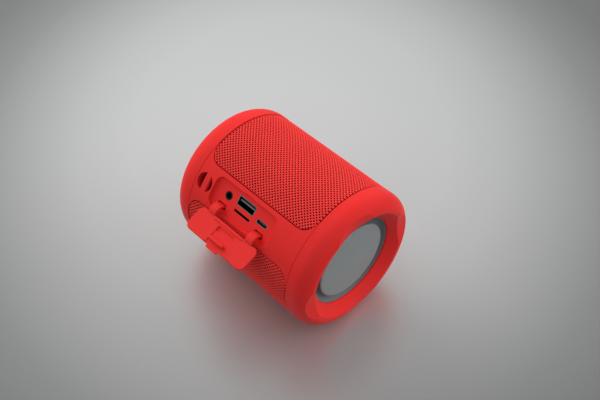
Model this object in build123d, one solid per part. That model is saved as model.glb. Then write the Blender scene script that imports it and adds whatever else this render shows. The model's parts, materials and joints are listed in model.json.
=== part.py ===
"""A portable party speaker: a red barrel that lies on its side with its port flap open.

Every piece is drawn with the barrel's axis along X and the port spine facing +Z, in millimetres.
PLACE then rolls the whole speaker about its axis to the way it lies, and lifts it onto the floor.
"""

import os
from math import asin, cos, degrees, hypot, radians, sin, sqrt

from build123d import *

# ---- barrel ----
RADIUS = 43.5
HALF_LENGTH = 55.1
SPINE_TURN = 52.5          # how far the port spine is rolled from straight up
TOP_SEAM = -39.4           # joint of the top cap
BASE_SEAM = 41.5           # joint of the base cap
TOP_GAP = 0.1              # half of the visible gap at the top joint
BASE_GAP = 0.03            # half of the tighter gap at the base joint
WALL = 2.2
TOP_FILLET = 12.6
PLACE = Pos(0, 0, RADIUS) * Rot(SPINE_TURN, 0, 0)

# ---- port spine and its recess ----
SPINE_HALF_WIDTH = 11.8
SPINE_CORNER = 9.0         # concave corners where the spine widens into the caps
RECESS_X = -2.15
RECESS_Y = 0.1
RECESS_LENGTH = 47.6
RECESS_WIDTH = 18.3
RECESS_CORNER = 4.5
FLOOR = 41.0               # distance of the recess floor from the axis
FLOOR_THICK = 2.2
FLOOR_ROUND = 0.35         # soft corner between the recess floor and its wall
RIM_ROUND = 0.35           # soft edge round the recess
SCOOP_RADIUS = 29.6        # finger scoop in the recess's upper wall
SCOOP_REACH = 1.6
EDGE_ROUND = 0.2           # small edge along every joint
LANYARD_X = -32.6
LANYARD_RADIUS = 5.5
LANYARD_BAR_X = -31.9
LANYARD_BAR_WIDTH = 4.0

# ---- ports, as (along, across) places on the recess floor ----
JACK_AT = (-15.3, 1.9)
JACK_BORE = 1.8
JACK_OUTER = 2.6
JACK_DEPTH = 14.0
USB_A_AT = (-2.0, 3.7)
USB_A_SIZE = (13.2, 5.7)
USB_A_DEPTH = 13.6
CARD_AT = (-2.2, -2.55)
CARD_SLOT = (12.2, 1.5)
MICRO_AT = (11.9, 0.85)
MICRO_SIZE = (7.6, 2.6)
MICRO_DEPTH = 9.3
STRAP_XS = (-17.0, 12.7)
STRAP_Y = -5.5
STRAP_SLOT = (6.4, 3.1)

# ---- port flap, drawn closed and then opened ----
HINGE_Y = -9.95
HINGE_Z = 43.5
OPEN_ANGLE = 149.4
FLAP_X = -1.9
FLAP_LENGTH = 46.3
FLAP_NEAR = -8.5           # hinge-side edge when closed
FLAP_WIDTH = 15.0
FLAP_BOTTOM = 41.5
FLAP_THICK = 1.7
CHANNEL_X = -1.6           # shallow channel that holds the pocket and the rib
CHANNEL_WIDTH = 13.0
STRAP_CENTRE = (-9.1, 42.3)    # the straps curl round this line, close to the hinge line
STRAP_RADIUS = 3.85
STRAP_THICK = 1.4
STRAP_WIDTH = 5.3

# ---- top end: keys and boards ----
KEY_PLATE_RADIUS = 23.7
KEY_PLATE_X = -54.3
KEY_PLATE_THICK = 1.6
KEY_TRAVEL = 0.5
KEY_CLEARANCE = 0.3
KEY_RING = 14.5
KEYS = {
    "button_play": (0.0, 0.0, 6.2),
    "button_volume_up": (KEY_RING, 0.0, 4.6),
    "button_volume_down": (-KEY_RING, 0.0, 4.6),
    "button_power": (0.0, KEY_RING, 4.6),
    "button_pairing": (0.0, -KEY_RING, 4.6),
}

# ---- base end ----
CREST_RADIUS = 36.9
CREST_INNER = 34.75        # the crest is a narrow flat ring
BASE_FILLET = 9.2
LIP_RADIUS = 28.5
LIP_X = 49.5
SCALLOP_RADIUS = 54.0
SCALLOP_FLOOR = 53.5
DISC_RADIUS = 23.95
DISC_FACE = 49.35
DISC_THICK = 1.6

# ---- inner housing and driver ----
HOUSING_OUTER = 40.8
HOUSING_INNER = 38.6
HOUSING_FLAT = 26.5        # the housing is flat under the ports
HOUSING_TOP = -37.9
HOUSING_BASE = 43.5
DRIVER_X = 2.0
DRIVER_FACE = -30.4
BATTERY_AT = (-27.3, -3.4)
BATTERY_RADIUS = 9.15
BATTERY_LENGTH = 65.0


def turned(*outline):
    """A solid turned about the barrel's axis from (along, radius) corners."""
    return revolve(make_face(Polyline(*outline, close=True)), Axis.X)


def ring(inner, outer, start, end):
    """A plain ring about the barrel's axis."""
    return turned((start, inner), (start, outer), (end, outer), (end, inner))


def disc(radius, start, end):
    """A plain disc about the barrel's axis."""
    return turned((start, 0), (start, radius), (end, radius), (end, 0))


def post(x, y, radius, low, high):
    """An upright cylinder."""
    return Pos(x, y, (low + high) / 2) * Cylinder(radius, high - low)


def block(x, y, length, width, low, high):
    """An upright box."""
    return Pos(x, y, (low + high) / 2) * Box(length, width, high - low)


def rounded(x, y, length, width, corner, low, high):
    """An upright box with round corners."""
    return Pos(x, y, low) * extrude(RectangleRounded(length, width, corner), high - low)


def end_post(y, z, radius, low, high):
    """A cylinder along the barrel's axis, away from its centre."""
    return Pos((low + high) / 2, y, z) * Rot(0, 90, 0) * Cylinder(radius, high - low)


def edges_where(shape, test):
    """The edges of a shape whose points all pass a test."""
    places = (0, 0.25, 0.5, 0.75, 1)
    return ShapeList([e for e in shape.edges() if all(test(e.position_at(t)) for t in places)])


def on_skin(point):
    """True for a point on the barrel's outer surface."""
    return abs(hypot(point.Y, point.Z) - RADIUS) < 0.02


def spine_prism(grow):
    """The spine's outline carried straight up: a strip that widens at both ends round a corner arc."""
    start = TOP_SEAM + TOP_GAP - grow
    end = BASE_SEAM - BASE_GAP + grow
    half = SPINE_HALF_WIDTH + grow
    corner = SPINE_CORNER - grow
    tip = 0.4 + grow
    mid = corner * (1 - sin(radians(45)))
    edges = []
    for side in (1, -1):
        wide = side * (half + corner)
        low = (start + tip + corner, side * half)
        high = (end - tip - corner, side * half)
        low_mid = (start + tip + mid, side * (half + mid))
        high_mid = (end - tip - mid, side * (half + mid))
        edges += [
            Line((start, wide), (start + tip, wide)),
            ThreePointArc((start + tip, wide), low_mid, low),
            Line(low, high),
            ThreePointArc(high, high_mid, (end - tip, wide)),
            Line((end - tip, wide), (end, wide)),
        ]
    edges += [Line((x, half + corner), (x, -half - corner)) for x in (start, end)]
    return Pos(0, 0, 20) * extrude(make_face(edges), 40)


def ring_sector(middle, thick, width, start_angle, end_angle):
    """The curled part of a strap: part of a ring about the strap's centre line, centred on x = 0."""
    inner = middle - thick / 2
    outer = middle + thick / 2

    def at(radius, angle):
        turn = radians(angle)
        return (STRAP_CENTRE[0] + radius * cos(turn), STRAP_CENTRE[1] + radius * sin(turn))

    half_way = (start_angle + end_angle) / 2
    outline = [
        ThreePointArc(*(at(outer, a) for a in (start_angle, half_way, end_angle))),
        Line(at(outer, end_angle), at(inner, end_angle)),
        ThreePointArc(*(at(inner, a) for a in (end_angle, half_way, start_angle))),
        Line(at(inner, start_angle), at(outer, start_angle)),
    ]
    band = extrude(Plane.YZ * make_face(outline), width / 2, both=True)
    return fillet(band.edges().filter_by(GeomType.CIRCLE), 0.45)


def opened(shape):
    """The flap's pieces are drawn closed; this swings them open about the hinge line."""
    hinge = Pos(0, HINGE_Y, HINGE_Z)
    return hinge * Rot(OPEN_ANGLE, 0, 0) * Pos(0, -HINGE_Y, -HINGE_Z) * shape


# ---- casings ----
def top_cap():
    """The closed end: a moulded cup with a large round shoulder and a round hole for the keys."""
    rim = TOP_SEAM - TOP_GAP
    shoulder = -HALF_LENGTH + TOP_FILLET
    inner = TOP_FILLET - WALL
    outer_mid = TOP_FILLET * (1 - sin(radians(45)))
    inner_mid = WALL + inner * (1 - sin(radians(45)))
    hole = KEY_PLATE_RADIUS + 0.1
    outline = [
        Line((rim - EDGE_ROUND, RADIUS), (shoulder, RADIUS)),
        ThreePointArc(
            (shoulder, RADIUS),
            (-HALF_LENGTH + outer_mid, RADIUS - outer_mid),
            (-HALF_LENGTH, RADIUS - TOP_FILLET),
        ),
        Polyline(
            (-HALF_LENGTH, RADIUS - TOP_FILLET),
            (-HALF_LENGTH, hole + 0.8),
            (-HALF_LENGTH + 0.8, hole),
            (-HALF_LENGTH + WALL, hole),
            (-HALF_LENGTH + WALL, RADIUS - TOP_FILLET),
        ),
        ThreePointArc(
            (-HALF_LENGTH + WALL, RADIUS - TOP_FILLET),
            (-HALF_LENGTH + inner_mid, RADIUS - inner_mid),
            (shoulder, RADIUS - WALL),
        ),
        Polyline(
            (shoulder, RADIUS - WALL),
            (rim, RADIUS - WALL),
            (rim, RADIUS - EDGE_ROUND),
            (rim - EDGE_ROUND, RADIUS),
        ),
    ]
    return revolve(make_face(outline), Axis.X)


def base_cap():
    """The radiator end: a ring with a round shoulder, a sloping mouth and four scallops."""
    rim = BASE_SEAM + BASE_GAP
    centre_r = RADIUS - BASE_FILLET
    centre_x = HALF_LENGTH - sqrt(BASE_FILLET**2 - (CREST_RADIUS - centre_r) ** 2)
    half_turn = (90 + degrees(asin((CREST_RADIUS - centre_r) / BASE_FILLET))) / 2
    middle = (
        centre_x + BASE_FILLET * cos(radians(half_turn)),
        centre_r + BASE_FILLET * sin(radians(half_turn)),
    )
    outline = [
        Line((rim + EDGE_ROUND, RADIUS), (centre_x, RADIUS)),
        ThreePointArc((centre_x, RADIUS), middle, (HALF_LENGTH, CREST_RADIUS)),
        Polyline(
            (HALF_LENGTH, CREST_RADIUS),
            (HALF_LENGTH, CREST_INNER),
            (LIP_X + 0.4, LIP_RADIUS + 0.1),
            (LIP_X, LIP_RADIUS),
            (47.0, LIP_RADIUS),
            (47.0, 32.0),
            (50.3, 34.8),
            (49.8, 37.4),
            (46.4, 40.2),
            (centre_x, RADIUS - WALL),
            (rim, RADIUS - WALL),
            (rim, RADIUS - EDGE_ROUND),
            (rim + EDGE_ROUND, RADIUS),
        ),
    ]
    cap = revolve(make_face(outline), Axis.X)
    for quarter in range(4):
        angle = 45 + 90 * quarter
        groove = Pos(SCALLOP_FLOOR + SCALLOP_RADIUS, 0, 40) * Cylinder(SCALLOP_RADIUS, 50)
        cap -= Rot(angle, 0, 0) * groove
    return cap


def spine_cover():
    """The port strip: part of the barrel wall with the port recess, its holes and the lanyard bar."""
    wall = ring(RADIUS - WALL, RADIUS, TOP_SEAM, BASE_SEAM) & spine_prism(0)
    tray_floor = FLOOR - FLOOR_THICK
    tray = rounded(
        RECESS_X, RECESS_Y, RECESS_LENGTH + 3.2, RECESS_WIDTH + 3.2, RECESS_CORNER + 1.5, tray_floor, RADIUS
    )
    tray &= disc(RADIUS, TOP_SEAM, BASE_SEAM)
    cover = wall + tray
    cover -= post(LANYARD_X, 0, LANYARD_RADIUS, RADIUS - 6, RADIUS + 1)
    cover = fillet(
        edges_where(cover, lambda p: on_skin(p) and hypot(p.X - LANYARD_X, p.Y) < LANYARD_RADIUS + 0.1),
        EDGE_ROUND,
    )
    recess = rounded(RECESS_X, RECESS_Y, RECESS_LENGTH, RECESS_WIDTH, RECESS_CORNER, FLOOR, RADIUS + 1)
    cover -= fillet(recess.edges().group_by(Axis.Z)[0], FLOOR_ROUND)
    rim = edges_where(cover, lambda p: on_skin(p) and abs(p.Y) < 11.2 and abs(p.X - RECESS_X) < 25)
    cover = fillet(rim, RIM_ROUND)
    outline = edges_where(
        cover,
        lambda p: on_skin(p) and (abs(p.Y) > 11.2 or p.X < TOP_SEAM + 1 or p.X > BASE_SEAM - 1),
    )
    cover = fillet(outline, EDGE_ROUND) - finger_scoop()
    cover -= post(*JACK_AT, JACK_OUTER + 0.05, tray_floor - 1, FLOOR + 1)
    cover -= block(*USB_A_AT, USB_A_SIZE[0] + 0.2, USB_A_SIZE[1] + 0.2, tray_floor - 1, FLOOR + 1)
    cover -= rounded(*CARD_AT, *CARD_SLOT, 0.6, tray_floor - 1, FLOOR + 1)
    cover -= rounded(
        *MICRO_AT, MICRO_SIZE[0] + 0.2, MICRO_SIZE[1] + 0.2, 0.9, tray_floor - 1, FLOOR + 1
    )
    for x in STRAP_XS:
        cover -= rounded(x, STRAP_Y, *STRAP_SLOT, 0.7, tray_floor - 1, FLOOR + 1)
    slots = edges_where(
        cover,
        lambda p: abs(p.Z - FLOOR) < 0.01 and abs(p.Y - STRAP_Y) < 2
        and min(abs(p.X - x) for x in STRAP_XS) < 3.5,
    )
    cover = fillet(slots, EDGE_ROUND * 2)
    return cover + lanyard_bar()


def finger_scoop():
    """A wide shallow scoop that leans back out of the recess's upper wall, over the flap's tab."""
    wall_y = RECESS_Y + RECESS_WIDTH / 2
    depth = RADIUS - FLOOR
    cone = Cone(SCOOP_RADIUS - 2.2, SCOOP_RADIUS, depth)
    cone = Pos(RECESS_X, wall_y + SCOOP_REACH - SCOOP_RADIUS, FLOOR + depth / 2) * cone
    return cone & block(RECESS_X, wall_y, 24, 4, FLOOR + 0.9, RADIUS)


def lanyard_bar():
    """The bar across the lanyard hole, flush with the barrel and moulded with it."""
    length = 2 * LANYARD_RADIUS + 1
    bar = block(LANYARD_BAR_X, 0, LANYARD_BAR_WIDTH, length, RADIUS - WALL - 0.6, RADIUS + 1)
    bar &= disc(RADIUS, TOP_SEAM, BASE_SEAM)
    bar = fillet(bar.edges().filter_by(lambda e: abs(e.length - LANYARD_BAR_WIDTH) > 1), 0.6)
    return bar & post(LANYARD_X, 0, LANYARD_RADIUS + 0.2, RADIUS - 6, RADIUS + 1)


def lanyard_cup():
    """A closed cup behind the lanyard hole, so that a loop can pass under the bar."""
    top = RADIUS - WALL - 0.6
    depth = 8.2
    cup = post(LANYARD_X, 0, LANYARD_RADIUS + 1.1, top - depth, top)
    cup -= post(LANYARD_X, 0, LANYARD_RADIUS, top - depth + 1.2, top + 1)
    tray_end = RECESS_X - RECESS_LENGTH / 2 - 1.7
    return cup - block(tray_end + 10, 0, 20, 30, FLOOR - FLOOR_THICK - 0.1, top + 1)


def grille_mesh():
    """The woven skin: it wraps all of the barrel that the spine leaves, a little below the caps."""
    skin = ring(RADIUS - 1.1, RADIUS - 0.1, TOP_SEAM + 0.2, BASE_SEAM - 0.2)
    return skin - spine_prism(0.2)


def grille_cage():
    """The stiff moulded lattice that the skin is stretched over."""
    cage = ring(RADIUS - WALL, RADIUS - 1.15, TOP_SEAM + 0.2, BASE_SEAM - 0.2)
    cage -= spine_prism(0.3)
    rows = 4
    pitch = (BASE_SEAM - TOP_SEAM - 6) / rows
    for row in range(rows):
        x = TOP_SEAM + 3 + pitch * (row + 0.5)
        for angle in range(50, 311, 20):
            cage -= Rot(angle, 0, 0) * block(x, 0, pitch - 4, 11, RADIUS - 5, RADIUS + 2)
    return cage


# ---- inner housing ----
def inner_housing():
    """The air-tight box: a flat-topped tube, closed at the top, with a sunk seat for the driver."""
    outer = disc(HOUSING_OUTER, HOUSING_TOP, HOUSING_BASE) - block(
        0, 0, 200, 100, HOUSING_FLAT, 60
    )
    hollow = disc(HOUSING_INNER, HOUSING_TOP + 2, HOUSING_BASE - 2) - block(
        0, 0, 200, 100, HOUSING_FLAT - 2, 60
    )
    housing = outer - hollow
    housing += disc(HOUSING_OUTER, HOUSING_BASE - 2, HOUSING_BASE)
    seat = post(DRIVER_X, 0, 25.2, -50, DRIVER_FACE + 3.5) & disc(HOUSING_OUTER, -60, 60)
    housing += seat
    housing -= post(DRIVER_X, 0, 23.4, -50, DRIVER_FACE + 1.5)
    housing -= post(DRIVER_X, 0, 20.5, -50, 0)
    housing -= disc(25.0, HOUSING_BASE - 3, HOUSING_BASE + 1)
    for angle in range(45, 360, 90):
        turn = radians(angle)
        housing -= end_post(34.5 * cos(turn), 34.5 * sin(turn), 1.2, HOUSING_BASE - 4, HOUSING_BASE + 1)
        housing -= post(
            DRIVER_X + 21.7 * cos(turn), 21.7 * sin(turn), 0.8, DRIVER_FACE, DRIVER_FACE + 5
        )
    return housing


def housing_seal():
    """A foam ring between the housing and the radiator frame."""
    seal = ring(29.5, 40.0, HOUSING_BASE, HOUSING_BASE + 0.6)
    for angle in range(45, 360, 90):
        turn = radians(angle)
        seal -= end_post(34.5 * cos(turn), 34.5 * sin(turn), 1.6, HOUSING_BASE - 1, HOUSING_BASE + 2)
    return seal


# ---- passive radiator ----
def radiator_frame():
    """The moulded ring that carries the radiator's rubber edge."""
    frame = ring(28.9, 40.0, HOUSING_BASE + 0.6, 45.95)
    for angle in range(45, 360, 90):
        turn = radians(angle)
        frame -= end_post(34.5 * cos(turn), 34.5 * sin(turn), 1.4, HOUSING_BASE, 47)
    return frame


def radiator_surround():
    """The rubber edge: a flange, a trough that is deepest beside the disc, and a bonding rim."""
    outline = [
        Polyline(
            (46.95, 31.5),
            (46.95, 28.4),
            (49.1, 28.4),
            (49.1, 28.0),
        ),
        ThreePointArc((49.1, 28.0), (47.0, 26.9), (46.0, 25.1)),
        Polyline(
            (46.0, 25.1),
            (46.3, 24.6),
            (47.7, 24.3),
            (47.7, 20.5),
            (46.9, 20.5),
            (46.9, 23.6),
            (45.5, 24.0),
            (45.0, 25.0),
        ),
        ThreePointArc((45.0, 25.0), (45.35, 27.0), (45.96, 28.6)),
        Polyline((45.96, 28.6), (45.96, 31.5), (46.95, 31.5)),
    ]
    return revolve(make_face(outline), Axis.X)


def radiator_disc():
    """The flat metal piston, with a small bevel round its face."""
    back = DISC_FACE - DISC_THICK
    return turned(
        (back, 0), (back, DISC_RADIUS - 0.3), (back + 0.3, DISC_RADIUS),
        (DISC_FACE - 0.4, DISC_RADIUS), (DISC_FACE, DISC_RADIUS - 0.8), (DISC_FACE, 0),
    )


def radiator_weight():
    """The tuning weight stuck to the back of the piston."""
    return disc(14.0, DISC_FACE - DISC_THICK - 3.2, DISC_FACE - DISC_THICK)


def base_screws():
    """Four screws that hold the radiator frame to the housing."""
    screws = []
    for angle in range(45, 360, 90):
        turn = radians(angle)
        y = 34.5 * cos(turn)
        z = 34.5 * sin(turn)
        screws.append(end_post(y, z, 1.2, HOUSING_BASE - 4, 46.0) + end_post(y, z, 2.2, 46.0, 47.3))
    return Compound(screws)


# ---- driver, facing away from the spine ----
def driver_turned(*outline):
    """A solid turned about the driver's own axis from (radius, depth behind its face) corners."""
    corners = [(r, DRIVER_FACE + h) for r, h in outline]
    half = Plane.XZ * make_face(Polyline(*corners, close=True))
    return Pos(DRIVER_X, 0, 0) * revolve(half, Axis.Z)


def driver_basket():
    """The pressed steel frame: a flange, a tapered cage with four windows and a floor."""
    basket = driver_turned(
        (18.6, 0), (23, 0), (23, 1.5), (20.2, 1.5), (15.2, 9.6), (15.2, 10.6),
        (8.0, 10.6), (8.0, 9.6), (14.2, 9.6), (19.2, 1.5), (18.6, 1.5),
    )
    for angle in range(0, 360, 90):
        window = Rot(0, 0, angle) * block(17, 0, 14, 13, DRIVER_FACE + 3, DRIVER_FACE + 8.5)
        basket -= Pos(DRIVER_X, 0, 0) * window
    for angle in range(45, 360, 90):
        turn = radians(angle)
        basket -= post(
            DRIVER_X + 21.7 * cos(turn), 21.7 * sin(turn), 1.0, DRIVER_FACE - 1, DRIVER_FACE + 2
        )
    return basket


def driver_screws():
    """Four screws through the driver's flange."""
    screws = []
    for angle in range(45, 360, 90):
        x = DRIVER_X + 21.7 * cos(radians(angle))
        y = 21.7 * sin(radians(angle))
        head = post(x, y, 1.2, DRIVER_FACE - 0.9, DRIVER_FACE)
        screws.append(head + post(x, y, 0.8, DRIVER_FACE, DRIVER_FACE + 4.5))
    return Compound(screws)


def driver_top_plate():
    """The steel washer that carries the magnet's flux to the coil."""
    return driver_turned((7.5, 10.6), (16, 10.6), (16, 12.6), (7.5, 12.6))


def driver_magnet():
    """The ring magnet."""
    return driver_turned((9.5, 12.6), (17, 12.6), (17, 18.8), (9.5, 18.8))


def driver_yoke():
    """The back plate with its pole, turned as one piece."""
    return driver_turned((0, 10.8), (6.2, 10.8), (6.2, 18.8), (16, 18.8), (16, 21), (0, 21))


def driver_voice_coil():
    """The coil former with its winding, in the magnet's gap."""
    return driver_turned((6.6, 6.6), (7.0, 6.6), (7.0, 11), (7.2, 11), (7.2, 14), (6.6, 14))


def driver_cone():
    """The paper cone."""
    return driver_turned((7.05, 7.4), (7.05, 6.8), (15.4, 1.4), (16.2, 1.4), (16.2, 1.9), (15.6, 1.9))


def driver_dust_cap():
    """The dome that closes the coil."""
    dome_radius = 11.7
    centre = Pos(DRIVER_X, 0, DRIVER_FACE + 3.4 + dome_radius)
    dome = centre * (Sphere(dome_radius) - Sphere(dome_radius - 0.5))
    return dome & post(DRIVER_X, 0, 7.2, DRIVER_FACE + 3, DRIVER_FACE + 7)


def driver_surround():
    """The rubber roll between the cone and the frame."""
    outline = [
        Line((15.5, DRIVER_FACE + 0.9), (15.5, DRIVER_FACE + 1.35)),
        Line((15.5, DRIVER_FACE + 1.35), (16.3, DRIVER_FACE + 1.35)),
        Line((16.3, DRIVER_FACE + 1.35), (16.3, DRIVER_FACE + 0.9)),
        ThreePointArc((16.3, DRIVER_FACE + 0.9), (18.0, DRIVER_FACE - 1.0), (19.7, DRIVER_FACE - 0.5)),
        Line((19.7, DRIVER_FACE - 0.5), (19.7, DRIVER_FACE)),
        Line((19.7, DRIVER_FACE), (20.3, DRIVER_FACE)),
        Line((20.3, DRIVER_FACE), (20.3, DRIVER_FACE - 0.9)),
        ThreePointArc((20.3, DRIVER_FACE - 0.9), (18.0, DRIVER_FACE - 1.6), (15.5, DRIVER_FACE + 0.9)),
    ]
    return Pos(DRIVER_X, 0, 0) * revolve(Plane.XZ * make_face(outline), Axis.Z)


def driver_spider():
    """The corrugated cloth that centres the coil."""
    return driver_turned(
        (7.25, 8.0), (9.0, 7.6), (10.5, 8.2), (12.0, 7.6), (13.6, 9.5), (14.1, 9.5),
        (14.1, 9.2), (13.8, 9.1), (12.1, 7.2), (10.5, 7.8), (9.0, 7.2), (7.25, 7.6),
    )


# ---- battery ----
def battery_cell():
    """One round lithium cell with its raised positive button."""
    y, z = BATTERY_AT
    half = BATTERY_LENGTH / 2
    return end_post(y, z, BATTERY_RADIUS, -half, half - 1) + end_post(y, z, 3.2, half - 1, half)


def battery_holders():
    """Two end brackets with spring contacts, screwed inside the housing."""
    y, z = BATTERY_AT
    half = BATTERY_LENGTH / 2
    holders = []
    for low, high in ((-half - 2.2, -half), (half, half + 2.2)):
        plate = Pos((low + high) / 2, y, z) * Box(high - low, 17.5, 19)
        holders.append(plate & disc(HOUSING_INNER - 0.2, low, high))
    return Compound(holders)


def battery_board():
    """The small protection board on the cell's end bracket."""
    y, z = BATTERY_AT
    start = BATTERY_LENGTH / 2 + 2.2
    return Pos(start + 0.5, y + 1, z) * Box(1.0, 12, 16)


# ---- ports ----
def usb_a_shell():
    """The folded metal shell of the full-size socket, open at its mouth."""
    length, width = USB_A_SIZE
    bottom = FLOOR - USB_A_DEPTH
    shell = block(*USB_A_AT, length, width, bottom, FLOOR)
    return shell - block(*USB_A_AT, length - 0.7, width - 0.7, bottom + 0.6, FLOOR + 1)


def usb_a_tongue():
    """The plastic tongue inside the full-size socket."""
    x, y = USB_A_AT
    bottom = FLOOR - USB_A_DEPTH + 0.6
    return block(x, y + 0.65, 10.9, 0.8, bottom, FLOOR - 0.6)


def usb_a_contacts():
    """Four contact strips on the lower face of the tongue."""
    x, y = USB_A_AT
    low = FLOOR - USB_A_DEPTH + 3
    strips = [
        block(x + offset, y + 0.15, 1.1, 0.2, low, FLOOR - 2.2) for offset in (-3.5, -1.0, 1.0, 3.5)
    ]
    return Compound(strips)


def micro_usb_shell():
    """The metal shell of the charging socket."""
    length, width = MICRO_SIZE
    bottom = FLOOR - MICRO_DEPTH
    shell = rounded(*MICRO_AT, length, width, 0.8, bottom, FLOOR)
    return shell - rounded(*MICRO_AT, length - 0.6, width - 0.6, 0.5, bottom + 0.5, FLOOR + 1)


def micro_usb_tongue():
    """The charging socket's thin tongue."""
    x, y = MICRO_AT
    return block(x, y + 0.2, 4.6, 0.6, FLOOR - MICRO_DEPTH + 0.5, FLOOR - 0.35)


def audio_jack():
    """The headphone-size socket: a round plastic barrel with a blind bore."""
    barrel = post(*JACK_AT, JACK_OUTER, FLOOR - 2.3, FLOOR)
    barrel += block(*JACK_AT, 6.4, 6.0, FLOOR - JACK_DEPTH + 0.2, FLOOR - 2.3)
    return barrel - post(*JACK_AT, JACK_BORE, FLOOR - JACK_DEPTH + 1.4, FLOOR + 1)


def card_socket():
    """The memory card's push-in socket, standing on edge, with its mouth up inside the slot."""
    x, y = CARD_AT
    top = FLOOR - FLOOR_THICK - 0.1
    socket = block(x, y, 13.8, 2.1, top - 11.5, top)
    socket += rounded(x, y, CARD_SLOT[0] - 0.2, CARD_SLOT[1] - 0.2, 0.5, top - 1, FLOOR - 0.05)
    return socket - block(x, y, 11.2, 0.75, top - 10.5, FLOOR)


def port_board():
    """The circuit board that the sockets stand on, with cut-outs for the long ones."""
    low = FLOOR - MICRO_DEPTH - 1.4
    board = block(RECESS_X, 0, 48, 22, low, low + 1.4)
    board -= block(*JACK_AT, 6.8, 6.4, low - 1, low + 2)
    board -= block(USB_A_AT[0], 1.3, 14.6, 11.2, low - 1, low + 2)
    return board


# ---- port flap ----
def port_flap():
    """The soft plate: a ridge at the hinge side, a pocket and a rib in a shallow channel, a tab."""
    middle_y = FLAP_NEAR + FLAP_WIDTH / 2
    top = FLAP_BOTTOM + FLAP_THICK
    plate = rounded(FLAP_X, middle_y, FLAP_LENGTH, FLAP_WIDTH, 3.6, FLAP_BOTTOM, top)
    plate = fillet(plate.edges().group_by(Axis.Z)[0] + plate.edges().group_by(Axis.Z)[-1], 0.5)
    start = FLAP_NEAR + 3.0
    channel = rounded(CHANNEL_X, start + 10, CHANNEL_WIDTH, 20, 0.6, FLAP_BOTTOM - 1, FLAP_BOTTOM + 0.4)
    plate -= channel
    tab = rounded(FLAP_X, FLAP_NEAR + FLAP_WIDTH, 8.6, 3.0, 1.2, top - 1.3, top)
    plate += fillet(tab.edges().group_by(Axis.Z)[-1], 0.4)
    ridge = rounded(FLAP_X, FLAP_NEAR + 1.2, 22.0, 1.1, 0.5, FLAP_BOTTOM - 0.35, FLAP_BOTTOM + 0.4)
    plate += fillet(ridge.edges().group_by(Axis.Z)[0], 0.3)
    plate -= rounded(FLAP_X, FLAP_NEAR + 2.2, 22.0, 0.7, 0.3, FLAP_BOTTOM - 1, FLAP_BOTTOM + 0.3)
    plate -= rounded(CHANNEL_X, FLAP_NEAR + 4.6, 12.5, 3.2, 0.5, FLAP_BOTTOM - 1, FLAP_BOTTOM + 1.0)
    rib = rounded(-1.9, 2.55, 12.0, 1.9, 0.9, FLAP_BOTTOM - 2.4, FLAP_BOTTOM + 0.6)
    plate += fillet(rib.edges().group_by(Axis.Z)[0], 0.5)
    return opened(plate)


def flap_straps():
    """Two soft bands that curl out of the slots and down onto the plate, each ending in a foot."""
    plate = opened(block(0, FLAP_NEAR + 15, 100, 32, FLAP_BOTTOM, FLAP_BOTTOM + 20))
    foot = rounded(0, FLAP_NEAR + 1.3, STRAP_WIDTH, 2.9, 0.7, FLAP_BOTTOM - STRAP_THICK, FLAP_BOTTOM)
    foot = opened(fillet(foot.edges().group_by(Axis.Z)[0], 0.5))
    straps = []
    for x in STRAP_XS:
        band = ring_sector(STRAP_RADIUS, STRAP_THICK, STRAP_WIDTH, -22, 118) - plate
        tail = block(0, -5.4, STRAP_WIDTH, 1.5, FLOOR - FLOOR_THICK - 0.9, FLOOR)
        bead = block(0, -5.4, 8.4, 2.4, FLOOR - FLOOR_THICK - 1.9, FLOOR - FLOOR_THICK - 0.1)
        straps.append(Pos(x, 0, 0) * (band + tail + bead + foot))
    return Compound(straps)


# ---- top end ----
def key_plate():
    """The round plate of the controls, with a hole for each key, the light and the microphone."""
    low = KEY_PLATE_X
    high = KEY_PLATE_X + KEY_PLATE_THICK
    plate = disc(KEY_PLATE_RADIUS, low, high)
    for y, z, radius in KEYS.values():
        plate -= end_post(y, z, radius + KEY_CLEARANCE, low - 1, high + 1)
    plate -= end_post(14.0, 14.0, 1.2, low - 1, high + 1)
    plate -= end_post(14.0, -14.0, 0.8, low - 1, high + 1)
    return plate


def key(y, z, radius):
    """One key: a round cap with a flange that stops it falling out, and a stem over its switch."""
    cap = end_post(y, z, radius, KEY_PLATE_X - 0.6, KEY_PLATE_X + 2.3)
    cap = fillet(cap.edges().group_by(Axis.X)[0], 0.35)
    cap += end_post(y, z, radius + 0.9, KEY_PLATE_X + 1.7, KEY_PLATE_X + 2.3)
    return cap + end_post(y, z, 1.6, KEY_PLATE_X + 2.3, KEY_PLATE_X + 3.2)


def button_board():
    """The round board behind the keys."""
    return disc(21.5, KEY_PLATE_X + 4.4, KEY_PLATE_X + 5.6)


def dome_switches():
    """One small press switch under each key."""
    low = KEY_PLATE_X + 3.2 + KEY_TRAVEL + 0.1
    return Compound([end_post(y, z, 2.2, low, KEY_PLATE_X + 4.4) for y, z, _ in KEYS.values()])


def status_lens():
    """The clear light guide of the status lamp."""
    return end_post(14.0, 14.0, 1.15, KEY_PLATE_X + 0.1, KEY_PLATE_X + 4.4)


def microphone():
    """The small microphone can behind its pinhole."""
    return end_post(14.0, -14.0, 1.6, KEY_PLATE_X + 3.2, KEY_PLATE_X + 4.4)


def main_board():
    """The main circuit board, across the top end behind the keys."""
    board = disc(34.0, -44.8, -43.2)
    return board - Compound([end_post(y, z, 1.3, -46, -42) for y, z in board_posts()])


def board_posts():
    """Where the main board's three screws stand."""
    return [(30 * cos(radians(a)), 30 * sin(radians(a))) for a in (30, 150, 270)]


def board_standoffs():
    """Three moulded pillars between the main board and the housing."""
    pillars = [end_post(y, z, 2.6, -43.2, HOUSING_TOP) for y, z in board_posts()]
    return Compound([p - end_post(y, z, 1.0, -44, -39.5) for p, (y, z) in zip(pillars, board_posts())])


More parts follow.
